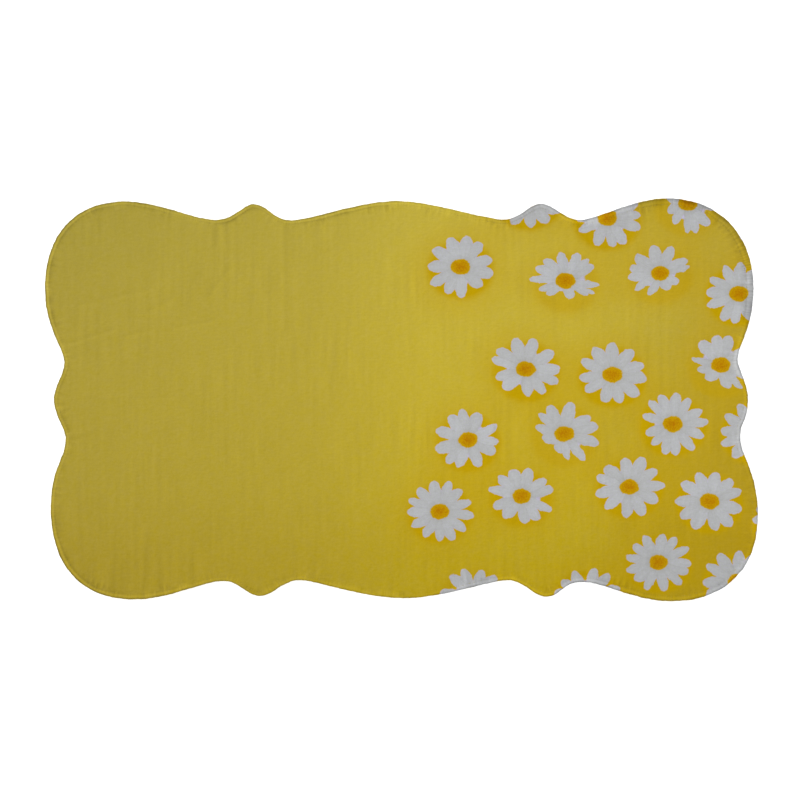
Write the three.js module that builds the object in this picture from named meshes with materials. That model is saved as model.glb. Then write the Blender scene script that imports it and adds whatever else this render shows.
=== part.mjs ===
// A doormat lying flat: one piece of printed short-pile cloth in a bracket outline, 800 mm by
// 452 mm, with its edge turned under and sewn down. Lengths are in millimetres and +Z is up. The
// origin is on the floor under the middle of the mat, +X runs along the mat to its right-hand end,
// and +Y runs to its far side.
import * as THREE from 'three';

// Heights above the floor.
const CLOTH_TOP = 3.1;        // one layer of the cloth with its pile
const HEM_CROWN = 4.2;        // the turned edge, where the cloth is double
const SEAM_FLOOR = 2.6;       // the groove that the sewing pulls in beside the turned edge
const EDGE_HEIGHT = 2;        // the outermost line of the turned edge
const LOWEST_TOP = 1.6;       // no trough is deeper than this height

// How finely the outline is stepped.
const STEP = 11;
const FEWEST_STEPS = 7;

// The outline, anticlockwise from above. A row is a lobe, a point or a hollow, where the edge runs
// straight along its side of the mat. before and after say how far it keeps that line on either
// side of the place, and hem is how wide the turned edge is there.
const OUTLINE = [
  { side: 'far', x: 299, y: 226, before: 57, after: 40, hem: 7 },
  { side: 'far', x: 200, y: 201.5, before: 20, after: 17, hem: 5.5 },
  { side: 'far', x: 157, y: 220, before: 12.5, after: 14, hem: 5 },
  { side: 'far', x: 115, y: 202, before: 19, after: 22, hem: 5 },
  { side: 'far', x: -5, y: 223, before: 38, after: 42, hem: 5 },
  { side: 'far', x: -124, y: 201, before: 21, after: 20, hem: 4.5 },
  { side: 'far', x: -166, y: 219.5, before: 15, after: 12, hem: 4.5 },
  { side: 'far', x: -209, y: 201.5, before: 22, after: 23, hem: 4.5 },
  { side: 'far', x: -310, y: 222.5, before: 37, after: 56, hem: 5 },
  { side: 'left', x: -400, y: 124.5, before: 62, after: 45, hem: 5 },
  { side: 'left', x: -378, y: 42, before: 16, after: 15, hem: 5 },
  { side: 'left', x: -390, y: 0, before: 16, after: 18, hem: 4.5 },
  { side: 'left', x: -376.5, y: -45, before: 15, after: 20, hem: 5 },
  { side: 'left', x: -393.5, y: -121, before: 45, after: 64, hem: 5 },
  { side: 'near', x: -300, y: -224, before: 61, after: 40, hem: 5.5 },
  { side: 'near', x: -199, y: -203, before: 24, after: 17, hem: 4.5 },
  { side: 'near', x: -158, y: -220, before: 17, after: 14.5, hem: 4.5 },
  { side: 'near', x: -114, y: -202, before: 20, after: 17, hem: 4.5 },
  { side: 'near', x: 3, y: -222.5, before: 47, after: 43, hem: 5 },
  { side: 'near', x: 119, y: -202, before: 18, after: 18, hem: 4.5 },
  { side: 'near', x: 162, y: -221, before: 13, after: 16.5, hem: 4.5 },
  { side: 'near', x: 202, y: -204, before: 21, after: 26, hem: 5 },
  { side: 'near', x: 304, y: -226, before: 44, after: 58, hem: 5.5 },
  { side: 'right', x: 400, y: -130, before: 61, after: 51, hem: 6 },
  { side: 'right', x: 379.5, y: -42, before: 20, after: 15, hem: 5 },
  { side: 'right', x: 389, y: -2, before: 18, after: 27, hem: 5 },
  { side: 'right', x: 377, y: 45, before: 14, after: 19, hem: 5.5 },
  { side: 'right', x: 395, y: 126, before: 49, after: 60, hem: 8 },
];
const HEADING = { far: [-1, 0], left: [0, -1], near: [1, 0], right: [0, 1] };

// The section through the edge, from the rim of the flat underside, round the turned edge and down
// into the seam. share counts in hem widths in from the edge, and more in mm beyond that.
const SECTION = [
  { share: 0.3, more: 0, height: 0 },
  { share: 0.06, more: 0, height: 0.6 },
  { share: 0, more: 0, height: EDGE_HEIGHT },
  { share: 0.12, more: 0, height: 3.5 },
  { share: 0.42, more: 0, height: HEM_CROWN },
  { share: 0.78, more: 0, height: 3.7 },
  { share: 1, more: 0.2, height: SEAM_FLOOR },
  { share: 1, more: 2.5, height: 2.9 },
];

// The flat cloth starts this far in from the seam, and goes on as rings. Each is drawn in by a
// share of the way to a line along the mat's middle, which has LINE_SHARE of the mat's length.
const FLAT_FROM_SEAM = 6;
const RINGS_IN = [0, 0.1, 0.24, 0.44, 0.66, 0.88];
const LINE_SHARE = 0.45;

// The soft creases that show from a step away, from one end to the other. lift is above the cloth
// where it is positive, and spread is the distance to the middle of the crease's slope.
const CREASES = [
  { x: -133, y: 188, toX: -131, toY: 80, spread: 7, lift: -0.7 },
  { x: -143, y: 188, toX: -140, toY: 96, spread: 6, lift: 0.5 },
  { x: -214, y: 196, toX: -212, toY: 172, spread: 6, lift: -0.8 },
  { x: -198, y: 198, toX: -195, toY: 168, spread: 6, lift: -0.6 },
  { x: -290, y: -212, toX: -288, toY: -150, spread: 7, lift: -0.7 },
  { x: -100, y: -200, toX: -66, toY: -200, spread: 9, lift: -0.6 },
  { x: -372, y: -42, toX: -350, toY: -36, spread: 6, lift: -0.5 },
  { x: -374, y: 60, toX: -330, toY: 74, spread: 7, lift: 0.5 },
];

// A long low swell runs through the cloth, because it has been rolled.
const SWELL_HEIGHT = 0.25;
const SWELL_LENGTH = 210;

function alongEdge() {
  // Every step of the edge: its place, the way in from it, and the hem's width there.
  const steps = [];
  OUTLINE.forEach((from, i) => {
    const to = OUTLINE[(i + 1) % OUTLINE.length];
    const leaving = new THREE.Vector2(...HEADING[from.side]);
    const arriving = new THREE.Vector2(...HEADING[to.side]);
    const start = new THREE.Vector2(from.x, from.y);
    const end = new THREE.Vector2(to.x, to.y);
    const curve = new THREE.CubicBezierCurve(
      start,
      start.clone().addScaledVector(leaving, from.after),
      end.clone().addScaledVector(arriving, -to.before),
      end,
    );
    const count = Math.max(FEWEST_STEPS, Math.round(curve.getLength() / STEP));
    for (let k = 0; k < count; k += 1) {
      const t = k / count;
      const along = curve.getTangent(t);
      steps.push({
        place: curve.getPoint(t),
        inward: new THREE.Vector2(-along.y, along.x),
        hem: THREE.MathUtils.lerp(from.hem, to.hem, THREE.MathUtils.smoothstep(t, 0, 1)),
      });
    }
  });
  return steps;
}

function creaseLift(x, y, crease) {
  // A crease is a rounded trough or ridge that fades past both its ends.
  const length = Math.hypot(crease.toX - crease.x, crease.toY - crease.y);
  const alongX = (crease.toX - crease.x) / length;
  const alongY = (crease.toY - crease.y) / length;
  const along = (x - crease.x) * alongX + (y - crease.y) * alongY;
  const aside = (x - crease.x) * alongY - (y - crease.y) * alongX;
  const past = Math.max(-along, along - length, 0);
  return crease.lift * Math.exp(-(aside ** 2 + past ** 2) / crease.spread ** 2);
}

function topHeight(x, y) {
  // The height of the flat cloth, with the swell and the creases.
  const swell = SWELL_HEIGHT * Math.sin((2 * Math.PI * x + y) / SWELL_LENGTH);
  const height = CREASES.reduce((sum, crease) => sum + creaseLift(x, y, crease), CLOTH_TOP + swell);
  return Math.max(LOWEST_TOP, height);
}

function ringsOfTheMat(edge) {
  // Closed rings of points, from the underside round the edge to the middle of the top.
  const inFromEdge = (step, distance) => step.place.clone().addScaledVector(step.inward, distance);
  const turned = SECTION.map(({ share, more, height }) => edge.map((step) => {
    const { x, y } = inFromEdge(step, share * step.hem + more);
    return [x, y, height];
  }));
  const flatEdge = edge.map((step) => inFromEdge(step, step.hem + FLAT_FROM_SEAM));
  const flat = RINGS_IN.map((drawn) => flatEdge.map((place) => {
    const x = place.x * THREE.MathUtils.lerp(1, LINE_SHARE, drawn);
    const y = place.y * (1 - drawn);
    return [x, y, topHeight(x, y)];
  }));
  return [...turned, ...flat];
}

function matGeometry() {
  const rings = ringsOfTheMat(alongEdge());
  const around = rings[0].length;
  const faces = [];

  // The walls between the rings.
  for (let ring = 0; ring < rings.length - 1; ring += 1) {
    for (let k = 0; k < around; k += 1) {
      const a = ring * around + k;
      const b = ring * around + ((k + 1) % around);
      faces.push(a, b, b + around);
      faces.push(a, b + around, a + around);
    }
  }

  // The flat underside, and the strip along the middle of the top.
  const fill = (ring, order) => {
    const loop = rings[ring].map(([x, y]) => new THREE.Vector2(x, y));
    for (const corners of THREE.ShapeUtils.triangulateShape(loop, [])) {
      faces.push(...order.map((corner) => ring * around + corners[corner]));
    }
  };
  fill(0, [0, 2, 1]);
  fill(rings.length - 1, [0, 1, 2]);

  const geometry = new THREE.BufferGeometry();
  geometry.setAttribute('position', new THREE.Float32BufferAttribute(rings.flat(2), 3));
  geometry.setIndex(faces);
  geometry.computeVertexNormals();
  return geometry;
}

const printedCloth = new THREE.MeshStandardMaterial({ color: 0xc0aa38, roughness: 0.9, metalness: 0 });

const mat = new THREE.Mesh(matGeometry(), printedCloth);
mat.name = 'mat';

const doormat = new THREE.Group();
doormat.name = 'doormat';
doormat.add(mat);

export default doormat;
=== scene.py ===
"""The looks of a doormat: printed short-pile cloth in a bracket outline, its edge turned under and
sewn down, with daisies strewn over its right-hand part.

Objects are in metres. The sizes and tables below are in millimetres, as a maker would write them,
and MM turns them into metres.
"""

import math
import random
from collections import namedtuple

import bpy
import numpy as np
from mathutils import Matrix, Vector
from mathutils.geometry import delaunay_2d_cdt
from mathutils.kdtree import KDTree


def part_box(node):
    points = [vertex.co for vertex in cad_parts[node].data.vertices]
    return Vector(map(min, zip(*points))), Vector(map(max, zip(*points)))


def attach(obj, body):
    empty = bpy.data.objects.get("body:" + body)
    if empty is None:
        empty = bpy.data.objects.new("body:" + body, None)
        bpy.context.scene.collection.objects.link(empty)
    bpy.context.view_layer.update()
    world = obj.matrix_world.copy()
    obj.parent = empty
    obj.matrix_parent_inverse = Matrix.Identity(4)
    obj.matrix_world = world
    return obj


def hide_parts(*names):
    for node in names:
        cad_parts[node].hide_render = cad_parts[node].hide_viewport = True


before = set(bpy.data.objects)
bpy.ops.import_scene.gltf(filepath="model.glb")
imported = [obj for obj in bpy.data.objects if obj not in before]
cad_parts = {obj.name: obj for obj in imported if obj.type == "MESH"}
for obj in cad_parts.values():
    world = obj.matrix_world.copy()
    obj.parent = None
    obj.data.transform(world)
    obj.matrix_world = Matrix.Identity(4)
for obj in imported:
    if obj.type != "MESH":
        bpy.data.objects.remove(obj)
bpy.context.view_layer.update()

MM = 0.001

# The outline, anticlockwise from above, as the solid has it. A row is a lobe, a point or a hollow,
# where the edge runs straight along its side of the mat. before and after say how far it keeps
# that line on either side of the place, and hem is how wide the turned edge is there.
Station = namedtuple("Station", "side x y before after hem")
OUTLINE = [
    Station("far", 299, 226, 57, 40, 7),
    Station("far", 200, 201.5, 20, 17, 5.5),
    Station("far", 157, 220, 12.5, 14, 5),
    Station("far", 115, 202, 19, 22, 5),
    Station("far", -5, 223, 38, 42, 5),
    Station("far", -124, 201, 21, 20, 4.5),
    Station("far", -166, 219.5, 15, 12, 4.5),
    Station("far", -209, 201.5, 22, 23, 4.5),
    Station("far", -310, 222.5, 37, 56, 5),
    Station("left", -400, 124.5, 62, 45, 5),
    Station("left", -378, 42, 16, 15, 5),
    Station("left", -390, 0, 16, 18, 4.5),
    Station("left", -376.5, -45, 15, 20, 5),
    Station("left", -393.5, -121, 45, 64, 5),
    Station("near", -300, -224, 61, 40, 5.5),
    Station("near", -199, -203, 24, 17, 4.5),
    Station("near", -158, -220, 17, 14.5, 4.5),
    Station("near", -114, -202, 20, 17, 4.5),
    Station("near", 3, -222.5, 47, 43, 5),
    Station("near", 119, -202, 18, 18, 4.5),
    Station("near", 162, -221, 13, 16.5, 4.5),
    Station("near", 202, -204, 21, 26, 5),
    Station("near", 304, -226, 44, 58, 5.5),
    Station("right", 400, -130, 61, 51, 6),
    Station("right", 379.5, -42, 20, 15, 5),
    Station("right", 389, -2, 18, 27, 5),
    Station("right", 377, 45, 14, 19, 5.5),
    Station("right", 395, 126, 49, 60, 8),
]
HEADING = {"far": (-1, 0), "left": (0, -1), "near": (1, 0), "right": (0, 1)}
STEPS_A_STATION = 240

# Heights above the floor.
CLOTH_TOP = 3.1
HEM_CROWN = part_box("mat")[1].z / MM
LOWEST_TOP = 1.6

# The section through the edge, from the underside of the flat cloth, round the turned edge and
# down into the seam, and up to the top of the flat cloth. share counts in hem widths in from the
# edge, and more in mm beyond that. pull is how far a tight seam draws the row down, stitch how much
# lower it lies at a needle hole than half-way between two, and pucker how far the gathered cloth
# moves it up and down. tone is light and shade painted into the pile's colour: a painted highlight
# on the crown of the turned edge and just inside it, and painted shade on its rounded outer side,
# at the rim and where it meets the floor. bold is what the boldest stretches add to that, and
# uneven is how much it changes on the way along the edge.
Row = namedtuple("Row", "name share more height pull stitch pucker tone bold uneven")
SECTION = [
    Row("back", 1, 5.2, 0.75, 0, 0, 0.05, 0, 0, 0),
    Row("cut edge", 1, 5.0, 0.12, 0, 0, 0.03, 0, 0, 0),
    Row("turned cloth", 1, 1.4, 0.04, 0, 0, 0, 0, 0, 0),
    Row("seam below", 1, 0, 0.42, 0, 0, 0, 0, 0, 0),
    Row("turned cloth", 0.72, 0, 0.04, 0, 0, 0, 0, 0, 0),
    Row("floor line", 0.32, 0, 0.06, 0, 0, 0, -0.05, 0, 0),
    Row("roll", 0.13, 0, 0.5, 0, 0, 0.03, -0.1, 0, 0.05),
    Row("roll", 0.03, 0, 1.3, 0, 0, 0.05, -0.15, -0.02, 0.08),
    Row("edge", 0, 0, 2.0, 0, 0, 0.06, -0.08, 0, 0.1),
    Row("roll", 0.04, 0, 2.8, 0, 0, 0.08, -0.15, -0.03, 0.1),
    Row("roll", 0.14, 0, 3.4, 0, 0.03, 0.1, -0.3, -0.16, 0.1),
    Row("roll", 0.28, 0, 3.75, 0, 0.06, 0.13, -0.1, -0.08, 0.08),
    Row("crown", 0.43, 0, HEM_CROWN - 0.4, 0, 0.08, 0.15, 0.07, 0.07, 0.05),
    Row("roll", 0.6, 0, 3.75, 0.03, 0.12, 0.16, 0.14, 0.13, 0.04),
    Row("roll", 0.77, 0, 3.6, 0.1, 0.16, 0.16, 0.1, 0.08, 0.05),
    Row("roll", 0.91, 0, 3.4, 0.22, 0.2, 0.13, 0.04, -0.02, 0.06),
    Row("seam", 1, 0, 3.25, 0.34, 0.24, 0.12, 0.01, -0.07, 0.07),
    Row("flat", 1, 0.7, 3.2, 0.26, 0.18, 0.2, 0, -0.06, 0.06),
    Row("flat", 1, 1.6, 3.15, 0.14, 0.1, 0.3, 0, -0.04, 0.04),
    Row("flat", 1, 2.7, 3.12, 0.06, 0.06, 0.36, 0, -0.02, 0.03),
    Row("flat", 1, 4.0, 3.1, 0, 0.03, 0.36, 0, -0.01, 0.02),
    Row("flat", 1, 5.5, CLOTH_TOP, 0, 0, 0.32, 0, 0, 0),
]
SEAM = [row.name for row in SECTION].index("seam")
SEAM_BELOW = [row.name for row in SECTION].index("seam below")

STITCH = 2.6             # from one needle hole to the next
POINTS_A_STITCH = 3
THREAD_THICK = 0.28
THREAD_TWIST = 0.25      # from one strand of its twist to the next
THREAD_LEAN = 0.06       # how far, in radians, a stitch may stand off the line of the seam
EDGE_OUT = 0.25          # how far the uneven edge lies outside the outline on average
FACET = (12, 26)         # the turned edge goes round a bend in short, almost straight lengths
FACET_SEED = 3
FACET_SHARE = 0.8        # how much of the way it is drawn to the straight line of each
FACET_DEPTH = (0.5, 2)   # how far at most, on the left and at the right end
FACET_GROWS = (250, 340)    # where along the mat the first goes over into the second
PUCKER_FADE = 5          # how far into the flat cloth most of the gathering reaches
BACK_FALL = 11           # how far in the cloth's back comes down on the floor
SEAM_PULL = 0.8          # how tight the seam is on average
PULL_RANGE = (0.1, 1.6)  # where it is loosest and tightest

# The turned edge gathers and has tucks across it, more where it is wide. There its outer part also
# lies lower and gets painted shade, and so does its seam.
GATHER = (0.8, 0.8)      # how high it gathers, and how much higher where it is wide
TUCKED = (0.6, 0.6)      # how strongly it is tucked, and how much more where it is wide
TUCK = 2.4               # about how wide a tuck is
TUCK_FADE = 2            # how far past the seam the tucks reach
RIDGE_HEM = (6, 8)       # the width from which it counts as wide, and where it does fully
RIDGE_FOOT = 3.1         # how far in from the edge its low part is lowest
RIDGE_SPREAD = 2.8       # how far that part spreads to both sides
RIDGE_DROP = 0.7
# painted shade on that low outer part
RIDGE_PAINTED_SHADE = 0.46
# painted shade by the seam of a wide turned edge
SEAM_PAINTED_SHADE = 0.09
SEAM_SHADE = (0.9, 6)    # how far past the seam one half of that reaches, and the other

# Light and shade painted into the pile's tone by the form of the cloth.
SLOPE_PAINTED_LIGHT = 0.4                # painted light: how much paler a slope looks that falls one way
PAINTED_LIGHT_WAY = (0.8, -0.6)    # a step of 1 mm that way
LOW = 0.2                # cloth that lies lower than this below the rest gets painted shade
LOW_PAINTED_SHADE = 0.04
HOLE_PAINTED_SHADE = 0.1        # painted shade at a needle hole
PULL_PAINTED_SHADE = 0.8        # painted shade where the seam is pulled in harder
GATHER_PAINTED_LIGHT = 0.06      # painted highlight where the cloth is gathered upwards
SLOW_FADE = 1.5          # how far past the seam the slow change of tone reaches

# Uneven waves along the edge, each the sum of many sine waves: about how high it is, how long they
# are from crest to crest, and the seed of their draws.
Wave = namedtuple("Wave", "height longest shortest seed")
WAVES = {
    "hem width": Wave(0.4, 170, 30, 11),
    "edge line": Wave(0.15, 60, 14, 12),
    "nibbled edge": Wave(0.1, 12, 6, 16),
    "gathers": Wave(1, 11, 6, 13),
    "more and less gathered": Wave(1, 120, 40, 17),
    "lumps": Wave(0.5, 40, 14, 14),
    "tight seam": Wave(0.6, 150, 40, 15),
    "rim tone": Wave(1, 45, 8, 18),
    "seam tone": Wave(1, 60, 10, 19),
    "more and less seam tone": Wave(0.6, 150, 40, 20),
    "slow tone": Wave(0.045, 260, 60, 22),
}
SINES = 16
SINES_HEIGHT = 3.4       # what they mostly stay within, added up

# Stretches of the edge, each round a place on it, where the light and shade painted on the turned
# edge, and the low outer part of a wide one, are bolder or fainter than elsewhere, and where the
# seam is pulled in harder.
Stretch = namedtuple("Stretch", "x y reach bold tight")
STRETCHES = [
    Stretch(-380, 190, 60, 0.9, 0.1),
    Stretch(-397, 120, 45, 0.4, 0.2),
    Stretch(-385, -185, 70, 0.9, 0.2),
    Stretch(-187, 209, 15, 0.3, 1),
    Stretch(-148, 212, 20, -0.8, 0),
    Stretch(-235, 211, 25, -0.5, 0),
    Stretch(-75, 213, 45, 0.6, 0.2),
    Stretch(65, 213, 55, -0.8, 0),
    Stretch(-160, -212, 60, -0.6, 0),
    Stretch(0, -222, 80, -0.7, 0),
    Stretch(390, -130, 80, -0.6, 0),
    Stretch(394, 135, 55, -0.8, 0),
]

# The mesh of the flat cloth: triangles of one size near the seam and along creases, and of a
# larger one elsewhere.
Grid = namedtuple("Grid", "size nearest furthest")
TOP_GRIDS = [Grid(1.9, 1.1, 12), Grid(5, 12, 1000)]
BACK_GRIDS = [Grid(3.5, 2, 14), Grid(14, 14, 1000)]
CREASE_REACH = 7

# Creases in the flat cloth, from one end to the other. lift is above the cloth where positive, and
# at the distance spread to its side about a third of a crease's height is left.
Crease = namedtuple("Crease", "x y to_x to_y spread lift")
CREASES = [
    Crease(-132, 196, -131, 80, 4, -0.45),
    Crease(-125, 188, -124, 96, 4.5, 0.2),
    Crease(-214, 198, -212, 174, 3.5, -0.7),
    Crease(-206, 199, -204, 176, 3, 0.4),
    Crease(-198, 198, -195, 168, 3.5, -0.55),
    Crease(-290, -212, -288, -150, 4.5, -0.6),
    Crease(-100, -200, -66, -200, 9, -0.6),
    Crease(-372, -42, -350, -36, 4, -0.5),
    Crease(-374, 62, -322, 78, 2.8, 0.45),
    Crease(-308, 71, -284, 77, 2.6, 0.4),
    Crease(-254, 81, -211, 87, 2.6, 0.4),
    Crease(-216, 114, -192, 146, 3.5, 0.45),
    Crease(-360, 106, -282, 123, 3.2, 0.35),
    Crease(-285, 97, -256, 112, 3, 0.35),
    Crease(-352, 6, -326, 1, 3, -0.4),
    Crease(-296, 0, -259, 2, 3, 0.3),
    Crease(-170, 148, -144, 143, 2.8, 0.35),
    Crease(-88, 198, -87, 90, 4, 0.25),
    Crease(-151, 122, -150, 55, 3.5, -0.25),
]

# A long low swell runs through the cloth, and shorter ones run every way.
SWELL_HEIGHT = 0.25
SWELL_LENGTH = 210
UNEVEN_HEIGHT = 0.028
UNEVEN_LENGTH = (26, 95)
UNEVEN_WAVES = 22
UNEVEN_SEED = 5

# The daisies are 68 mm across the mat and a little more along it, and are strewn over its
# right-hand part, in rows that have wandered. first is where a row starts.
DaisyRow = namedtuple("DaisyRow", "y first")
DAISY_ROWS = [
    DaisyRow(208, 128),
    DaisyRow(124, 86),
    DaisyRow(42, 140),
    DaisyRow(-40, 100),
    DaisyRow(-121, 46),
    DaisyRow(-203, 104),
]
DAISY_PITCH = 97
DAISY_LAST = 440         # beyond the mat's end, so that the end cuts through some of them
DAISY_WANDER = 26
DAISY_APART = 82         # about the least from one middle to the next, across the mat
DAISY_ROUNDS = 12        # how often those that are nearer move apart
DAISY_SEED = 565
DAISY_RADIUS = (33.6, 36.2)
DAISY_PETALS = (11, 12, 12, 13)
DAISY_STRETCH = 1.12     # how much longer than wide the whole print is drawn
DAISY_SQUASH = (1, 1, 0.97, 0.93, 0.78)    # how flat a flower looks that is turned from the eye
Daisy = namedtuple("Daisy", "x y radius turn petals seed facing squash")

# The parts of a flower, in its own radii. A pair says how much something varies and its least, or
# from where to where it goes over from nothing to all.
PETAL_LENGTH = (0.1, 0.93)
PETAL_WIDTH = (0.07, 0.293)    # half of it, in steps from one petal to the next
PETAL_SWING = (1.2, 0.2)       # how unevenly petals stand, more so in a flat flower
PETAL_SLANT = 0.35             # how much of that swing slants a tip
PETAL_EDGE = (-0.04, 0.06)     # the print's edge is a little soft
PETAL_RIM = (0.02, 0.17)       # the paler rim, from all to nothing
PETALS_TOUCH = (0.59, 0.54)    # nearer to the centre the petals leave no gap
CENTRE = (0.314, 0.288)
CENTRE_FLAT = 1.12             # how much flatter the centre is than the petals
GLOW = (1.1, 0.8)              # the deeper yellow close round a flower
WIDE_GLOW = (0.85, 0.68)       # where its wide part starts to fade, and how far it reaches
WIDE_GLOW_MOST = 0.35
GLOW_BELOW = 3                 # in mm, how far it lies towards the near side

# Marks of the print and the pile: how many there are to a millimetre, and so how large they are.
PER_MM = {
    "strayed print": 1.1,          # 0.9 mm
    "wavering outline": 0.14,      # 7 mm
    "petal vein": 0.3,             # 3.3 mm
    "cool tint": 0.6,              # 1.7 mm
    "ragged centre": 0.4,          # 2.5 mm
    "floret": 0.77,                # 1.3 mm
    "pile foot": 0.11,             # 9 mm
    "tuft": 0.7,                   # 1.4 mm: a real one is about 0.4 mm, too fine to show
    "lump": 0.22,                  # 4.5 mm
    "patch": 0.045,                # 22 mm
    "row": (0.13, 0.5, 0),         # 8 mm along the mat and 2 mm across it
    "streak": (0.16, 0.012, 0),    # 6 mm along the mat and 80 mm across it
    "streaky part": 0.012,         # 80 mm
}
YARN_PITCH = 0.7         # from one yarn of the woven back to the next, as in the real one
FLOOR_GAP = 0.5          # the floor lies this much lower than the mat, so that no faces meet

# Colours of the print, for the light of this scene.
PRINT = {
    "far left": "#a09034",
    "far middle": "#baa736",
    "far right": "#ac982f",
    "near left": "#9f8c29",
    "near middle": "#b39c10",
    "near right": "#988118",
    "golden edge": "#b39300",
    "petal": "#aeb0b0",
    "petal rim": "#bab4cf",
    "petal base": "#95948e",
    "centre": "#b78e00",
    "centre speck": "#a66c00",
    "pile foot": "#b4a8a0",
    "sheen": "#f4e9a8",
}
BACK_YARN = "#b5ae98"
BACK_GAP = "#8f8973"
THREAD = "#98893a"


def smooth(low, high, value):
    """0 below low, 1 above high, and an even slope between."""
    t = np.clip((value - low) / (high - low), 0, 1)
    return t * t * (3 - 2 * t)


def waves_along(count, length):
    """The uneven waves along the closed edge: for each of them one value for each point."""
    turn = np.arange(count) / count * 2 * math.pi
    waves = {}
    for name, wave in WAVES.items():
        draw = random.Random(wave.seed)
        heights = np.zeros(count)
        for _ in range(SINES):
            times = round(length / draw.uniform(wave.shortest, wave.longest))
            heights += draw.uniform(0.4, 1) * np.sin(times * turn + draw.uniform(0, 2 * math.pi))
        waves[name] = wave.height * (heights / SINES_HEIGHT)
    return waves


def round_the_edge():
    """The edge in fine steps: its places, the way in from each, and the hem's width there."""
    t = np.linspace(0, 1, STEPS_A_STATION, endpoint=False)[:, None]
    places, hems = [], []
    for here, there in zip(OUTLINE, OUTLINE[1:] + OUTLINE[:1]):
        start = np.array([here.x, here.y], float)
        end = np.array([there.x, there.y], float)
        leaving = start + here.after * np.array(HEADING[here.side])
        arriving = end - there.before * np.array(HEADING[there.side])
        places.append((1 - t) ** 3 * start + 3 * (1 - t) ** 2 * t * leaving
                      + 3 * (1 - t) * t ** 2 * arriving + t ** 3 * end)
        hems.append(here.hem + (there.hem - here.hem) * smooth(0, 1, t[:, 0]))
    places = np.concatenate(places)
    along = np.roll(places, -1, 0) - np.roll(places, 1, 0)
    along /= np.linalg.norm(along, axis=1)[:, None]
    inward = np.stack([-along[:, 1], along[:, 0]], 1)
    return places, inward, np.concatenate(hems)


def sewn_edge():
    """The same edge in steps that keep time with the stitches, a few to each along the seam."""
    places, inward, hem = round_the_edge()
    seam = places + inward * hem[:, None]
    closed = np.vstack([seam, seam[:1]])
    travelled = np.append(0, np.cumsum(np.linalg.norm(np.diff(closed, axis=0), axis=1)))
    length = travelled[-1]
    count = round(length / STITCH) * POINTS_A_STITCH
    at = np.arange(count) * length / count

    def evenly(values):
        return np.interp(at, travelled, np.append(values, values[0]))

    places = np.stack([evenly(places[:, 0]), evenly(places[:, 1])], 1)
    inward = np.stack([evenly(inward[:, 0]), evenly(inward[:, 1])], 1)
    inward /= np.linalg.norm(inward, axis=1)[:, None]
    waves = waves_along(count, length)
    uneven = waves["edge line"] + waves["nibbled edge"]
    places = faceted(places, at, length) + inward * (uneven - EDGE_OUT)[:, None]
    return places, inward, evenly(hem) + waves["hem width"], waves, length


def faceted(places, at, length):
    """The edge drawn a little way towards the straight lines between some of its own points, most
    of all at its right-hand end."""
    draw = random.Random(FACET_SEED)
    knots = [0]
    while knots[-1] < length - FACET[1]:
        knots.append(knots[-1] + draw.uniform(*FACET))
    knots.append(length)
    straight = []
    for values in places.T:
        closed = np.append(values, values[0])
        there = np.interp(knots, np.append(at, length), closed)
        straight.append(np.interp(at, knots, there))
    drawn = FACET_SHARE * (np.stack(straight, 1) - places)
    to_right = smooth(*FACET_GROWS, places[:, 0])
    most = FACET_DEPTH[0] + (FACET_DEPTH[1] - FACET_DEPTH[0]) * to_right
    far = np.linalg.norm(drawn, axis=1)
    drawn *= (most / (most + far + far ** 2))[:, None]
    return places + drawn


def lie_of_the_cloth(x, y):
    """How far the flat cloth lies above CLOTH_TOP: its swells and its creases."""
    rise = SWELL_HEIGHT * np.sin((2 * math.pi * x + y) / SWELL_LENGTH)
    draw = random.Random(UNEVEN_SEED)
    for _ in range(UNEVEN_WAVES):
        length = draw.uniform(*UNEVEN_LENGTH)
        way = draw.uniform(0, math.pi)
        across = x * math.cos(way) + y * math.sin(way)
        wave = np.sin(2 * math.pi * across / length + draw.uniform(0, 6.28))
        rise = rise + UNEVEN_HEIGHT * wave
    for crease in CREASES:
        rise = rise + crease.lift * np.exp(-(from_crease(x, y, crease) / crease.spread) ** 2)
    return rise


def painted_slope_light_and_shade(x, y):
    """Light and shade painted on the flat cloth: paler where it slopes down one way, darker where
    it lies low."""
    rise = lie_of_the_cloth(x, y)
    fall = rise - lie_of_the_cloth(x + PAINTED_LIGHT_WAY[0], y + PAINTED_LIGHT_WAY[1])
    return SLOPE_PAINTED_LIGHT * fall + LOW_PAINTED_SHADE * np.clip(rise + LOW, None, 0)


def from_crease(x, y, crease):
    """How far places on the cloth are from the line of a crease."""
    length = math.hypot(crease.to_x - crease.x, crease.to_y - crease.y)
    along_x = (crease.to_x - crease.x) / length
    along_y = (crease.to_y - crease.y) / length
    along = (x - crease.x) * along_x + (y - crease.y) * along_y
    aside = (x - crease.x) * along_y - (y - crease.y) * along_x
    past = np.maximum(np.maximum(-along, along - length), 0)
    return np.hypot(aside, past)


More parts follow.
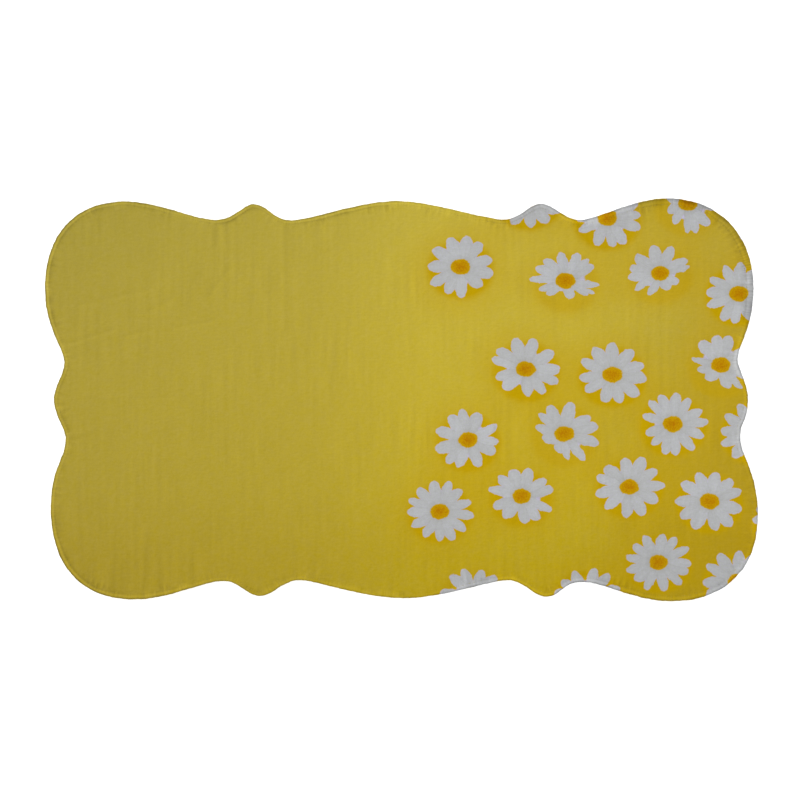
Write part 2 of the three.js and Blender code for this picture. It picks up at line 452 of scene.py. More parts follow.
def fill(loop, grids, creases=()):
    """Free points inside a closed loop, and triangles over both. Each free point comes with its
    distance from the loop and the loop's nearest point."""
    tree = KDTree(len(loop))
    for k, (x, y) in enumerate(loop):
        tree.insert((x, y, 0), k)
    tree.balance()
    ends = np.roll(loop, -1, 0)
    free, nearest, distance = [], [], []
    for grid in grids:
        heights = np.arange(loop[:, 1].min(), loop[:, 1].max(), grid.size * math.sqrt(0.75))
        for number, y in enumerate(heights):
            over = (loop[:, 1] > y) != (ends[:, 1] > y)
            start, end = loop[over], ends[over]
            slope = (end[:, 0] - start[:, 0]) / (end[:, 1] - start[:, 1])
            crossings = start[:, 0] + (y - start[:, 1]) * slope
            first = loop[:, 0].min() + grid.size * (number % 2) / 2
            row = np.arange(first, loop[:, 0].max(), grid.size)
            row = row[(row[:, None] < crossings).sum(1) % 2 == 1]
            creased = np.zeros(len(row), bool)
            for crease in creases:
                creased |= from_crease(row, y, crease) < CREASE_REACH
            for x, on_crease in zip(row, creased):
                _, k, away = tree.find((x, y, 0))
                near = min(away, grids[0].furthest / 2) if on_crease else away
                if grid.nearest <= near < grid.furthest:
                    free.append((x, y))
                    nearest.append(k)
                    distance.append(away)
    points = [Vector(p) for p in [*loop, *free]]
    inside, same_point = 1, 1e-5
    found = delaunay_2d_cdt(points, [], [list(range(len(loop)))], inside, same_point)
    order = np.array([sources[0] for sources in found[3]])
    triangles = order[np.array(found[2])]
    return np.array(free), np.array(nearest), np.array(distance), triangles


def strewn_daisies():
    """The flowers of the print. Each wanders off its place in its row, and those that come too
    near each other move apart."""
    draw = random.Random(DAISY_SEED)
    places = []
    for row in DAISY_ROWS:
        for x in np.arange(row.first, DAISY_LAST, DAISY_PITCH):
            wander = [draw.uniform(-1, 1) * DAISY_WANDER, draw.uniform(-1, 1) * DAISY_WANDER]
            places.append(np.array([x, row.y]) + wander)
    stretch = np.array([DAISY_STRETCH, 1])
    for _ in range(DAISY_ROUNDS):
        for number, here in enumerate(places):
            for there in places[:number]:
                apart = (here - there) / stretch
                push = max(DAISY_APART / np.linalg.norm(apart) - 1, 0) / 2 * apart * stretch
                here += push
                there -= push
    return [Daisy(
        x=x,
        y=y,
        radius=draw.uniform(*DAISY_RADIUS),
        turn=draw.uniform(0, 2 * math.pi),
        petals=draw.choice(DAISY_PETALS),
        seed=draw.randrange(1000),
        facing=draw.uniform(0, math.pi),
        squash=draw.choice(DAISY_SQUASH),
    ) for x, y in places]


def from_daisies(plan, daisies):
    """How far each place on the flat cloth is from each flower, in that flower's radii."""
    every = Daisy(*np.array(daisies).T)
    x = (plan[:, None, 0] - every.x) / DAISY_STRETCH
    y = plan[:, None, 1] - every.y
    along = x * np.cos(every.facing) + y * np.sin(every.facing)
    across = y * np.cos(every.facing) - x * np.sin(every.facing)
    return np.hypot(along / every.squash, across) / every.radius


Rings = namedtuple("Rings", "points plans tones tucks gather length")


def rings_of_the_edge():
    """The rings of the section: their points, their places in the flat cloth before it was turned,
    the light and shade painted on the pile with its uneven tone, and how strongly the edge is
    tucked there. The gather is the same for all of them."""
    places, inward, hem, waves, length = sewn_edge()
    count = len(places)
    at_hole = 0.5 + 0.5 * np.cos(2 * math.pi * np.arange(count) / POINTS_A_STITCH)
    wide = smooth(*RIDGE_HEM, hem)
    gather = (GATHER[0] + GATHER[1] * wide) * waves["gathers"]
    gather = gather * (1 + waves["more and less gathered"]) + waves["lumps"]
    bold, hardest = 0, 0
    for stretch in STRETCHES:
        away = np.linalg.norm(places - (stretch.x, stretch.y), axis=1)
        here = np.exp(-(away / stretch.reach) ** 2)
        bold = bold + stretch.bold * here
        hardest = hardest + stretch.tight * here
    tight = np.clip(SEAM_PULL + waves["tight seam"], *PULL_RANGE) + hardest
    seam_tone = waves["seam tone"] * (1 + waves["more and less seam tone"])

    rings = Rings([], [], [], [], gather, length)
    for row in SECTION:
        on_top = row.height > HEM_CROWN / 2
        inset = row.share * hem + row.more
        place = places + inward * inset[:, None]
        height = row.height - row.pull * tight - row.stitch * at_hole + row.pucker * gather
        # tone is light and shade painted on the edge, with its uneven tone: paler where the cloth
        # is gathered up, painted shade at needle holes and where the seam is pulled in harder.
        tone = row.tone + row.bold * bold
        tone = tone + row.uneven * (seam_tone if row.pull else waves["rim tone"])
        tone = tone - HOLE_PAINTED_SHADE * row.stitch * at_hole + GATHER_PAINTED_LIGHT * row.pucker * gather
        tone = tone - PULL_PAINTED_SHADE * row.pull * hardest
        tone = tone + waves["slow tone"] * math.exp(-(row.more / SLOW_FADE) ** 2)
        # The low outer part of a wide turned edge, and its seam, get painted shade.
        if on_top and row.share < 1:
            foot = np.exp(-((inset - RIDGE_FOOT) / RIDGE_SPREAD) ** 2)
            foot = wide * np.maximum(0, 1 + bold) * foot
            height = height - RIDGE_DROP * foot
            tone = tone - RIDGE_PAINTED_SHADE * foot
        if on_top and row.share > 0.9:
            shade = sum(math.exp(-(row.more / reach) ** 2) for reach in SEAM_SHADE)
            tone = tone - SEAM_PAINTED_SHADE * wide * shade
        # The flat cloth gets light and shade painted from its slopes and low places.
        if row.name == "flat":
            lie = lie_of_the_cloth(*place.T) * row.more / SECTION[-1].more
            height = np.maximum(height + lie, LOWEST_TOP)
            tone = tone + painted_slope_light_and_shade(*place.T) * row.more / SECTION[-1].more
        tuck = (TUCKED[0] + TUCKED[1] * wide) * math.exp(-(row.more / TUCK_FADE) ** 2)
        rings.points.append(np.column_stack([place, np.clip(height, 0, HEM_CROWN)]))
        rings.plans.append(place)
        rings.tones.append(tone)
        rings.tucks.append(tuck * on_top)
    cloth_from_seam = np.zeros(count)
    for number in range(SEAM - 1, 0, -1):
        step = rings.points[number] - rings.points[number + 1]
        cloth_from_seam += np.linalg.norm(step, axis=1)
        rings.plans[number] = rings.plans[SEAM] - inward * cloth_from_seam[:, None]
    return rings


def mat_piece(daisies):
    """The whole mat as one closed mesh. It also gives the seam's two lines of needle holes."""
    rings = rings_of_the_edge()
    count = len(rings.gather)
    k = np.arange(count)
    walls = []
    for number in range(len(SECTION) - 1):
        here = number * count + k
        after = number * count + (k + 1) % count
        walls.append(np.column_stack([here, after, after + count, here + count]))

    # The flat cloth on top, and its back underneath.
    free, nearest, distance, top = fill(rings.points[-1][:, :2], TOP_GRIDS, CREASES)
    gathered = SECTION[-1].pucker * rings.gather[nearest] * np.exp(-distance / PUCKER_FADE)
    # Painted light where the cloth is gathered up, and light and shade painted from its slopes and
    # low places.
    tone = GATHER_PAINTED_LIGHT * gathered + painted_slope_light_and_shade(*free.T)
    height = CLOTH_TOP + lie_of_the_cloth(*free.T) + gathered
    top_points = np.column_stack([free, np.maximum(height, LOWEST_TOP)])
    under, _, distance, back = fill(rings.points[0][:, :2], BACK_GRIDS)
    height = SECTION[0].height * (1 - smooth(0, BACK_FALL, distance))
    back_points = np.column_stack([under, height])

    ring_total = len(SECTION) * count
    top = np.where(top < count, top + (len(SECTION) - 1) * count, top - count + ring_total)
    back = np.where(back < count, back, back - count + ring_total + len(free))
    points = np.vstack([*rings.points, top_points, back_points])
    plan = np.vstack([*rings.plans, free, under])
    faces = [*np.vstack(walls).tolist(), *top.tolist(), *back[:, ::-1].tolist()]

    mesh = bpy.data.meshes.new("mat_cloth")
    mesh.from_pydata((points * MM).tolist(), [], faces)
    mesh.polygons.foreach_set("use_smooth", np.ones(len(faces), bool))
    is_back = np.zeros(len(faces), int)
    is_back[:count] = 1
    is_back[-len(back):] = 1
    mesh.polygons.foreach_set("material_index", is_back)

    # What the print's pattern reads: the place on the flat cloth, the light and shade painted on
    # the pile with its uneven tone, the tucks and where they are along the seam, the glow round the
    # flowers, and the flower nearest a face.
    none_under = np.zeros(len(under))
    give(mesh, "cloth_plan", "POINT", np.column_stack([plan, np.zeros(len(plan))]))
    give(mesh, "painted_light_and_pile_tone", "POINT", np.concatenate([*rings.tones, tone, none_under]))
    give(mesh, "tucks", "POINT", np.concatenate([*rings.tucks, np.zeros(len(free)), none_under]))
    along = np.column_stack([k, k + 1, k + 1, k]).ravel() * rings.length / count
    along = np.append(np.tile(along, len(walls)), np.zeros(3 * (len(top) + len(back))))
    give(mesh, "along_seam", "CORNER", along)
    beyond = np.clip(from_daisies(plan + (0, GLOW_BELOW), daisies) - WIDE_GLOW[0], 0, None)
    glow = WIDE_GLOW_MOST * np.exp(-(beyond / WIDE_GLOW[1]) ** 2)
    give(mesh, "daisy_glow", "POINT", np.clip(glow.sum(1), 0, 1))
    middles = np.array([plan[face].mean(0) for face in faces])
    closest = from_daisies(middles, daisies).argmin(1)
    for name, fields in {
        "daisy_place": [(d.x, d.y, d.radius) for d in daisies],
        "daisy_habit": [(d.turn, d.petals, d.seed) for d in daisies],
        "daisy_view": [(d.facing, d.squash, 0) for d in daisies],
    }.items():
        give(mesh, name, "FACE", np.array(fields)[closest])

    mesh.materials.append(printed_cloth())
    mesh.materials.append(back_cloth())
    holes = slice(0, count, POINTS_A_STITCH)
    return put("mat_cloth", mesh), rings.points[SEAM][holes], rings.points[SEAM_BELOW][holes]


def put(name, data):
    """Put a mesh, lamp or camera into the scene."""
    thing = bpy.data.objects.new(name, data)
    bpy.context.collection.objects.link(thing)
    return thing


def give(mesh, name, domain, values):
    """Store one value, or three, for each point or face."""
    if values.ndim == 1:
        mesh.attributes.new(name, "FLOAT", domain).data.foreach_set("value", values)
    else:
        layer = mesh.attributes.new(name, "FLOAT_VECTOR", domain)
        layer.data.foreach_set("vector", values.ravel())


def linear(colour):
    """An sRGB hex colour as the linear one that a socket takes."""
    channels = [int(colour[k:k + 2], 16) / 255 for k in (1, 3, 5)]
    return [c / 12.92 if c <= 0.04045 else ((c + 0.055) / 1.055) ** 2.4 for c in channels] + [1]


INK = {name: linear(colour) for name, colour in PRINT.items()}


def bare_material(name):
    """A new material and its tree, which has no nodes yet."""
    material = bpy.data.materials.new(name)
    material.use_nodes = True
    material.node_tree.nodes.clear()
    return material, material.node_tree


def add(tree, kind, *values, named=None, **settings):
    """Add a node with its settings. kind is a shader node's name without ShaderNode, or the whole
    name of any other. values go to the inputs in order, and named ones by name: each is a number
    or colour to set, or a node or output to link. None leaves an input as it is."""
    node = tree.nodes.new(kind if "Node" in kind else "ShaderNode" + kind)
    for setting, value in settings.items():
        setattr(node, setting, value)
    inputs = [socket for socket in node.inputs if socket.enabled]
    pairs = list(zip(inputs, values))
    pairs += [(next(s for s in inputs if s.name == name), v) for name, v in (named or {}).items()]
    for socket, value in pairs:
        if isinstance(value, bpy.types.Node):
            value = next(output for output in value.outputs if output.enabled)
        if isinstance(value, bpy.types.NodeSocket):
            tree.links.new(value, socket)
        elif value is not None:
            socket.default_value = value
    return node


def daisy_print(tree, plan):
    """The flower nearest to each place on the flat cloth. It gives how much of its petals and of
    its centre is there, the colour of both, and how much the ground glows close round it. Lengths
    are in the flower's radii."""
    place, habit, view = [
        add(tree, "Attribute", attribute_name="daisy_" + name).outputs["Vector"]
        for name in ("place", "habit", "view")
    ]
    radius = add(tree, "SeparateXYZ", place).outputs["Z"]
    turn, petals, seed = add(tree, "SeparateXYZ", habit).outputs
    facing, squash, _ = add(tree, "SeparateXYZ", view).outputs
    one_mm = add(tree, "Math", 1, radius, operation="DIVIDE")
    away = add(tree, "VectorMath", plan, place, operation="SUBTRACT")
    away = add(tree, "VectorMath", away, (1 / DAISY_STRETCH, 1, 0), operation="MULTIPLY")
    glow = add(tree, "VectorMath", away, (0, GLOW_BELOW, 0), operation="ADD")
    glow = add(tree, "VectorMath", glow, operation="LENGTH")
    glow = add(tree, "Math", glow, radius, operation="DIVIDE")
    turned = add(tree, "Math", 1, squash, operation="SUBTRACT")
    strong = add(tree, "Math", turned, -2, 0.75, operation="MULTIPLY_ADD")
    glow = add(tree, "MapRange", glow, *GLOW, 0, strong, interpolation_type="SMOOTHSTEP")
    away = add(tree, "VectorMath", away, one_mm, operation="SCALE")
    heart = add(tree, "VectorMath", away, (1, CENTRE_FLAT, 1), operation="MULTIPLY")
    heart = add(tree, "VectorMath", heart, operation="LENGTH")
    away = add(tree, "VectorRotate", away, (0, 0, 0), facing, rotation_type="Z_AXIS", invert=True)

    # A flower that is turned from the eye looks flat, most of all on its far side, and its petals
    # stand less evenly.
    ahead = add(tree, "SeparateXYZ", away).outputs["X"]
    ahead = add(tree, "MapRange", ahead, -0.3, 0.3, -0.8, 0.8)
    squash = add(tree, "Math", turned, ahead, squash, operation="MULTIPLY_ADD")
    swing = add(tree, "Math", turned, *PETAL_SWING, operation="MULTIPLY_ADD")
    squashed = add(tree, "CombineXYZ", squash, 1, 1)
    away = add(tree, "VectorMath", away, squashed, operation="DIVIDE")
    away = add(tree, "VectorRotate", away, (0, 0, 0), turn, rotation_type="Z_AXIS")
    out = add(tree, "VectorMath", away, operation="LENGTH")

    # Petals are numbered round the flower, and each place lies between two of them.
    step = add(tree, "Math", 2 * math.pi, petals, operation="DIVIDE")
    across = add(tree, "SeparateXYZ", away).outputs
    bearing = add(tree, "Math", across["Y"], across["X"], operation="ARCTAN2")
    number = add(tree, "Math", bearing, step, operation="DIVIDE")
    before = add(tree, "Math", number, operation="FLOOR")
    depths, tones = [], []
    for later in (0, 1):
        number = add(tree, "Math", before, later, operation="ADD")
        same = add(tree, "Math", number, petals, operation="FLOORED_MODULO")
        key = add(tree, "CombineXYZ", same, seed)
        chance = add(tree, "TexWhiteNoise", key, noise_dimensions="2D")
        lean, length, width = add(tree, "SeparateXYZ", chance.outputs["Color"]).outputs
        lean = add(tree, "Math", lean, 0.5, operation="SUBTRACT")
        lean = add(tree, "Math", lean, swing, operation="MULTIPLY")
        length = add(tree, "Math", length, *PETAL_LENGTH, operation="MULTIPLY_ADD")
        width = add(tree, "Math", width, *PETAL_WIDTH, operation="MULTIPLY_ADD")
        width = add(tree, "Math", width, step, operation="MULTIPLY")
        bearing = add(tree, "Math", number, step, lean, operation="MULTIPLY_ADD")
        laid = add(tree, "VectorRotate", away, (0, 0, 0), bearing,
                   rotation_type="Z_AXIS", invert=True)
        laid = add(tree, "SeparateXYZ", laid).outputs
        reach = add(tree, "Math", laid["X"], length, operation="DIVIDE")
        side = add(tree, "Math", laid["Y"], width, operation="DIVIDE")
        slant = add(tree, "Math", lean, PETAL_SLANT, operation="MULTIPLY")
        reach = add(tree, "Math", side, slant, reach, operation="MULTIPLY_ADD")
        tip = add(tree, "MapRange", reach, 0.66, 1.68, 0, 3)
        span = add(tree, "CombineXYZ", tip, side)
        span = add(tree, "VectorMath", span, operation="LENGTH")
        depths.append(add(tree, "Math", 1, span, operation="SUBTRACT"))
        line = add(tree, "Math", side, 2.5, operation="MULTIPLY")
        line = add(tree, "CombineXYZ", reach, line, chance.outputs["Value"])
        line = add(tree, "TexNoise", line, named={"Scale": 1.5, "Detail": 2})
        tones.append(add(tree, "Math", line, 2, chance.outputs["Value"], operation="MULTIPLY_ADD"))

    depth = add(tree, "Math", *depths, operation="MAXIMUM")
    petal = add(tree, "MapRange", depth, *PETAL_EDGE, 0, 1)
    touching = add(tree, "MapRange", out, *PETALS_TOUCH, 0, 1)
    petal = add(tree, "Math", petal, touching, operation="MAXIMUM")

    # Petals are a little unlike in tone, with faint lines along them, greyer by the centre, where
    # one lies beside the next and inside their rims, which are paler.
    front = add(tree, "Math", *depths, operation="LESS_THAN")
    tone = add(tree, "Mix", front, *tones, data_type="FLOAT")
    fold = add(tree, "Math", *depths, operation="SUBTRACT")
    fold = add(tree, "Math", fold, operation="ABSOLUTE")
    fold = add(tree, "MapRange", fold, 0, 0.3, 0.05, 0)
    base = add(tree, "MapRange", out, 0.25, 0.44, 0.27, 0)
    inner = add(tree, "MapRange", depth, 0.12, 0.5, 0.13, 0)
    veins = add(tree, "TexNoise", plan, named={"Scale": PER_MM["petal vein"], "Detail": 2})
    veins = add(tree, "Math", veins, 0.4, -0.43, operation="MULTIPLY_ADD")
    grey = fold
    for more in (base, inner, veins):
        grey = add(tree, "Math", grey, more, operation="ADD")
    grey = add(tree, "Math", tone, 0.25, grey, operation="MULTIPLY_ADD", use_clamp=True)
    rim = add(tree, "MapRange", depth, *PETAL_RIM, 1, 0)
    cool = add(tree, "TexNoise", plan, named={"Scale": PER_MM["cool tint"], "Detail": 1})
    cool = add(tree, "Math", cool, 0.48, operation="SUBTRACT")
    rim = add(tree, "Math", cool, 1.5, rim, operation="MULTIPLY_ADD", use_clamp=True)
    colour = add(tree, "Mix", rim, INK["petal"], INK["petal rim"], data_type="RGBA")
    colour = add(tree, "Mix", grey, colour, INK["petal base"], data_type="RGBA")

    # The centre is a dome of florets with a ragged edge.
    ragged = add(tree, "TexNoise", plan, named={"Scale": PER_MM["ragged centre"], "Detail": 1})
    ragged = add(tree, "Math", ragged, 0.04, heart, operation="MULTIPLY_ADD")
    centre = add(tree, "MapRange", ragged, *CENTRE, 0, 1)
    florets = add(tree, "TexVoronoi", plan, named={"Scale": PER_MM["floret"]})
    speck = add(tree, "MapRange", florets.outputs["Distance"], 0.2, 0.75, -0.1, 0.55)
    dome = add(tree, "MapRange", heart, 0.05, 0.26, 0.4, -0.1)
    speck = add(tree, "Math", speck, dome, operation="ADD", use_clamp=True)
    gold = add(tree, "Mix", speck, INK["centre"], INK["centre speck"], data_type="RGBA")
    outer = add(tree, "MapRange", heart, 0.2, 0.28, 0, 0.75)
    gold = add(tree, "Mix", outer, gold, INK["golden edge"], data_type="RGBA")
    return petal, colour, centre, gold, glow


def printed_cloth():
    """Polyester cloth with a brushed short pile, printed by heat: matt and a little furry, with
    print edges softened by the pile and faint streaks where it has been stroked."""
    material, tree = bare_material("printed short-pile polyester")
    plan = add(tree, "Attribute", attribute_name="cloth_plan").outputs["Vector"]

    # The tips of the pile carry the print up to 0.4 mm aside, and the flowers' own outlines waver
    # by about 1 mm.
    strayed = plan
    for mark, reach in (("strayed print", 1.4), ("wavering outline", 3.2)):
        stray = add(tree, "TexNoise", plan, named={"Scale": PER_MM[mark], "Detail": 1})
        stray = add(tree, "VectorMath", stray.outputs["Color"], (0.5, 0.5, 0.5),
                    operation="SUBTRACT")
        strayed = add(tree, "VectorMath", stray, (reach, reach, 0), strayed,
                      operation="MULTIPLY_ADD")

    # The yellow ground changes slowly over the mat, and a little faster left of its middle. It is
    # more golden by the near edge.
    across = add(tree, "SeparateXYZ", plan).outputs
    slowly = add(tree, "MapRange", across["X"], -400, 60, 0, 0.65)
    faster = add(tree, "MapRange", across["X"], -100, 20, 0, 0.35)
    to_middle = add(tree, "Math", slowly, faster, operation="ADD")
    to_right = add(tree, "MapRange", across["X"], 200, 400, 0, 1)
    to_near = add(tree, "MapRange", across["Y"], 190, -190, 0, 1)
    sides = []
    for side in ("far", "near"):
        ground = add(tree, "Mix", to_middle, INK[side + " left"], INK[side + " middle"],
                     data_type="RGBA")
        sides.append(add(tree, "Mix", to_right, ground, INK[side + " right"], data_type="RGBA"))
    ground = add(tree, "Mix", to_near, *sides, data_type="RGBA")
    by_near_edge = add(tree, "MapRange", across["Y"], -100, -180, 0, 0.13)
    ground = add(tree, "Mix", by_near_edge, ground, INK["golden edge"], data_type="RGBA")

    # The pile's pale foot shows a little between its tufts, more in some places.
    foot = add(tree, "TexNoise", plan,
               named={"Scale": PER_MM["pile foot"], "Detail": 3, "Roughness": 0.9})
    foot = add(tree, "Math", foot, 0.14, -0.045, operation="MULTIPLY_ADD", use_clamp=True)
    ground = add(tree, "Mix", foot, ground, INK["pile foot"], data_type="RGBA")

    petal, petal_colour, centre, gold, glow = daisy_print(tree, strayed)
    wide_glow = add(tree, "Attribute", attribute_name="daisy_glow").outputs["Fac"]
    glow = add(tree, "Math", glow, wide_glow, operation="ADD", use_clamp=True)
    ground = add(tree, "Mix", glow, ground, INK["golden edge"], data_type="RGBA")
    colour = add(tree, "Mix", petal, ground, petal_colour, data_type="RGBA")
    colour = add(tree, "Mix", centre, colour, gold, data_type="RGBA")

    # Tufts are drawn at three times their size so that they show. The pile also lies in short rows
    # along the mat, in lumps with light and shade painted on their slopes, paler on those that fall
    # one way, in flat patches, and in long streaks across the mat, stronger in some places.
    tufts, lumps, patches, strong = [
        add(tree, "TexNoise", plan, named={"Scale": PER_MM[mark], "Detail": 1})
        for mark in ("tuft", "lump", "patch", "streaky part")
    ]
    drawn_out = []
    for mark, detail in (("row", 1), ("streak", 2)):
        fine = add(tree, "VectorMath", plan, PER_MM[mark], operation="MULTIPLY")
        fine = add(tree, "TexNoise", fine, named={"Scale": 1, "Detail": detail})
        drawn_out.append(add(tree, "Math", fine, 0.5, operation="SUBTRACT"))
    rows, streaks = drawn_out
    strong = add(tree, "MapRange", strong, 0.35, 0.65, 0.02, 0.24)
    ahead = add(tree, "VectorMath", plan, (1, -0.75, 0), operation="ADD")
    ahead = add(tree, "TexNoise", ahead, named={"Scale": PER_MM["lump"], "Detail": 1})
    painted_lump_light = add(tree, "Math", lumps, ahead, operation="SUBTRACT")
    tone = add(tree, "Math", tufts, 0.1, 0.93, operation="MULTIPLY_ADD")
    for mark, strength in ((painted_lump_light, 0.11), (rows, 0.11), (patches, 0.04), (streaks, strong)):
        tone = add(tree, "Math", mark, strength, tone, operation="MULTIPLY_ADD")

    # The colour darkens a little towards the mat's two long sides, most of all at its left end and
    # by the near edge.
    dim = add(tree, "MapRange", across["X"], -400, -250, -0.08, -0.05)
    off_middle = add(tree, "Math", across["Y"], 1 / 190, operation="MULTIPLY")
    off_middle = add(tree, "Math", off_middle, 2, operation="POWER")
    tone = add(tree, "Math", dim, off_middle, tone, operation="MULTIPLY_ADD")
    tone = add(tree, "Math", by_near_edge, -0.3, tone, operation="MULTIPLY_ADD")

    # Fine tucks run across the turned edge, with their light and shade painted into the tone as
    # well as bumped.
    along = add(tree, "Attribute", attribute_name="along_seam").outputs["Fac"]
    tucked = add(tree, "Attribute", attribute_name="tucks").outputs["Fac"]
    along = add(tree, "Math", lumps, 1.5, along, operation="MULTIPLY_ADD")
    tucks = add(tree, "TexNoise", noise_dimensions="1D",
                named={"W": along, "Scale": 1 / TUCK, "Detail": 1})
    tucks = add(tree, "Math", tucks, 0.5, operation="SUBTRACT")
    tucks = add(tree, "Math", tucks, tucked, operation="MULTIPLY")
    tone = add(tree, "Math", tucks, 0.35, tone, operation="MULTIPLY_ADD")

    # Light and shade painted on the turned edge, its seam and the creased cloth, with the pile's
    # uneven tone along the edge.
    painted_light_and_tone = add(tree, "Attribute", attribute_name="painted_light_and_pile_tone").outputs["Fac"]
    tone = add(tree, "Math", painted_light_and_tone, tone, tone, operation="MULTIPLY_ADD")
    colour = add(tree, "VectorMath", colour, tone, operation="SCALE")

    # Tufts, lumps and tucks stand up to this many mm high.
    relief = add(tree, "Math", tufts, 0.2, operation="MULTIPLY")
    relief = add(tree, "Math", lumps, 0.3, relief, operation="MULTIPLY_ADD")
    relief = add(tree, "Math", tucks, 0.6, relief, operation="MULTIPLY_ADD")
    bump = add(tree, "Bump", 0.6, MM, named={"Height": relief})
    cloth = add(tree, "BsdfPrincipled", colour, named={
        "Roughness": 0.95, "Specular IOR Level": 0.05, "Sheen Weight": 0.05,
        "Sheen Roughness": 0.5, "Sheen Tint": INK["sheen"], "Normal": bump,
    })
    add(tree, "OutputMaterial", cloth)
    return material


def back_cloth():
    """Plain-woven polyester backing, undyed: even square grain and no shine."""
    material, tree = bare_material("woven polyester backing")
    place = add(tree, "TexCoord").outputs["Object"]

    # Each wave is two yarns long.
    turns = 2 * math.pi / (2 * YARN_PITCH * MM)
    turns = add(tree, "VectorMath", place, turns, operation="SCALE")
    waves = add(tree, "VectorMath", turns, operation="SINE")
    waves = add(tree, "SeparateXYZ", waves).outputs
    weave = add(tree, "Math", waves["X"], waves["Y"], operation="MULTIPLY")
    height = add(tree, "MapRange", weave, -1, 1, 0, 1)
    colour = add(tree, "Mix", height, linear(BACK_GAP), linear(BACK_YARN), data_type="RGBA")
    bump = add(tree, "Bump", 0.4, 0.2 * MM, named={"Height": height})
    cloth = add(tree, "BsdfPrincipled", colour, named={
        "Roughness": 0.9, "Specular IOR Level": 0.25, "Normal": bump,
    })
    add(tree, "OutputMaterial", cloth)
    return material


def sewing_thread():
    """Spun polyester thread, dyed to go with the print: dull, with a slight shine on its twist."""
    material, tree = bare_material("spun polyester thread")
    place = add(tree, "TexCoord").outputs["Object"]
    twist = add(tree, "TexNoise", place, named={"Scale": 1 / (THREAD_TWIST * MM), "Detail": 1})
    tone = add(tree, "Math", twist, 0.4, 0.8, operation="MULTIPLY_ADD")
    colour = add(tree, "VectorMath", linear(THREAD)[:3], tone, operation="SCALE")
    bump = add(tree, "Bump", 0.4, 0.1 * MM, named={"Height": twist})
    thread = add(tree, "BsdfPrincipled", colour, named={
        "Roughness": 0.6, "Specular IOR Level": 0.4, "Normal": bump,
    })
    add(tree, "OutputMaterial", thread)
    return material


def stitch_tree(thread):
    """Geometry nodes that lay one stitch from each point of a line to the next."""
    tree = bpy.data.node_groups.new("stitches along a seam", "GeometryNodeTree")
    kinds = {
        "Seam": "NodeSocketGeometry", "Stitch Length": "NodeSocketFloat",
        "Thread Diameter": "NodeSocketFloat", "Bow": "NodeSocketFloat",
        "Lean": "NodeSocketFloat", "Seed": "NodeSocketInt",
    }
    for name, kind in kinds.items():
        tree.interface.new_socket(name, in_out="INPUT", socket_type=kind)
    tree.interface.new_socket("Stitches", in_out="OUTPUT", socket_type="NodeSocketGeometry")
    given = add(tree, "NodeGroupInput").outputs

    # One stitch: a thread that goes down into the hole at both its ends.
    end = add(tree, "CombineXYZ", given["Stitch Length"])
    half = add(tree, "Math", given["Stitch Length"], 0.5, operation="MULTIPLY")
    middle = add(tree, "CombineXYZ", half, 0, given["Bow"])
    path = add(tree, "GeometryNodeCurveQuadraticBezier", 4, (0, 0, 0), middle, end)
    thick = add(tree, "Math", given["Thread Diameter"], 0.5, operation="MULTIPLY")
    profile = add(tree, "GeometryNodeCurvePrimitiveCircle", mode="RADIUS",
                  named={"Resolution": 6, "Radius": thick})
    stitch = add(tree, "GeometryNodeCurveToMesh", path, profile, named={"Fill Caps": True})

    seam = add(tree, "GeometryNodeMeshToCurve", given["Seam"])
    holes = add(tree, "GeometryNodeCurveToPoints", seam, mode="EVALUATED")
    ahead = add(tree, "FunctionNodeAlignRotationToVector", axis="X", pivot_axis="Z",
                named={"Vector": holes.outputs["Tangent"]})
    back = add(tree, "Math", given["Lean"], -1, operation="MULTIPLY")
    lean = add(tree, "FunctionNodeRandomValue", data_type="FLOAT",
               named={"Min": back, "Max": given["Lean"], "Seed": given["Seed"]})
    lean = add(tree, "CombineXYZ", 0, 0, lean)
    lean = add(tree, "FunctionNodeEulerToRotation", lean)
    facing = add(tree, "FunctionNodeRotateRotation", ahead, lean, rotation_space="LOCAL")
    placed = add(tree, "GeometryNodeInstanceOnPoints", holes.outputs["Points"],
                 named={"Instance": stitch, "Rotation": facing})
    real = add(tree, "GeometryNodeRealizeInstances", placed)
    smooth_real = add(tree, "GeometryNodeSetShadeSmooth", real)
    done = add(tree, "GeometryNodeSetMaterial", smooth_real, named={"Material": thread})
    add(tree, "NodeGroupOutput", done)
    return tree


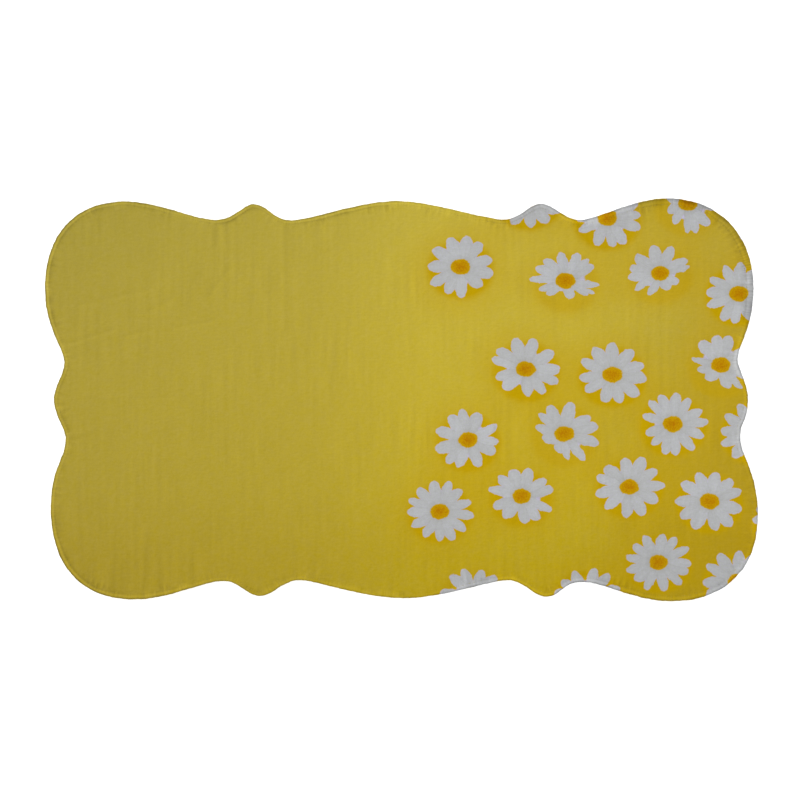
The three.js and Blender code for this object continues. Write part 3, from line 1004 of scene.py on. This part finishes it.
def stitching(name, tree, holes, sunk, bow, seed):
    """The thread of the seam on one side of the mat, from its closed line of needle holes. Its ends
    are sunk into them, and its middle bows up, or down where bow is negative."""
    after = np.roll(np.arange(len(holes)), -1)
    line = bpy.data.meshes.new(name)
    ends = (holes - (0, 0, sunk)) * MM
    line.from_pydata(ends.tolist(), list(enumerate(after.tolist())), [])
    piece = put(name, line)
    modifier = piece.modifiers.new("stitches", "NODES")
    modifier.node_group = tree
    sizes = {
        "Stitch Length": STITCH * MM, "Thread Diameter": THREAD_THICK * MM, "Bow": bow * MM,
        "Lean": THREAD_LEAN, "Seed": seed,
    }
    for socket in tree.interface.items_tree:
        if socket.name in sizes:
            modifier[socket.identifier] = sizes[socket.name]
    shown = piece.evaluated_get(bpy.context.evaluated_depsgraph_get())
    piece.data = bpy.data.meshes.new_from_object(shown)
    piece.data.name = name
    piece.modifiers.clear()
    return piece


def studio():
    """A white table, lit a little from below, under soft even light, and a camera right above."""
    mesh = bpy.data.meshes.new("floor")
    reach = 8
    corners = [(-reach, -reach), (reach, -reach), (reach, reach), (-reach, reach)]
    mesh.from_pydata([(x, y, -FLOOR_GAP * MM) for x, y in corners], [], [(0, 1, 2, 3)])
    floor = put("floor", mesh)
    white, tree = bare_material("matt white paper")
    paper = add(tree, "BsdfPrincipled", (0.95, 0.95, 0.95, 1), named={
        "Roughness": 1, "Emission Color": (1, 1, 1, 1), "Emission Strength": 0.35,
    })
    add(tree, "OutputMaterial", paper)
    mesh.materials.append(white)

    world = bpy.data.worlds.new("bright room")
    bpy.context.scene.world = world
    world.use_nodes = True
    world.node_tree.nodes.clear()
    sky = add(world.node_tree, "Background", (1, 1, 1, 1), 0.84)
    add(world.node_tree, "OutputWorld", sky)

    lamp = bpy.data.lights.new("soft box", "AREA")
    lamp.size = 4
    lamp.energy = 155
    softbox = put("soft box", lamp)
    softbox.location = (-1.4, 1.8, 6)
    softbox.rotation_euler = (-softbox.location).to_track_quat("-Z", "Y").to_euler()

    lens = bpy.data.cameras.new("camera")
    lens.lens = 85
    lens.sensor_width = 36
    camera = put("camera", lens)
    camera.location = (-1.6 * MM, -0.24 * MM, 2.122)
    bpy.context.scene.camera = camera
    bpy.context.scene.view_settings.view_transform = "Standard"


studio()
cloth, holes_above, holes_below = mat_piece(strewn_daisies())
stitches = stitch_tree(sewing_thread())
threads = [
    stitching("stitching_above", stitches, holes_above, sunk=0.12, bow=0.3, seed=1),
    stitching("stitching_below", stitches, holes_below, sunk=0.05, bow=-0.2, seed=2),
]

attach(cloth, "root")
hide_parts("mat")
for thread in threads:
    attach(thread, "root")
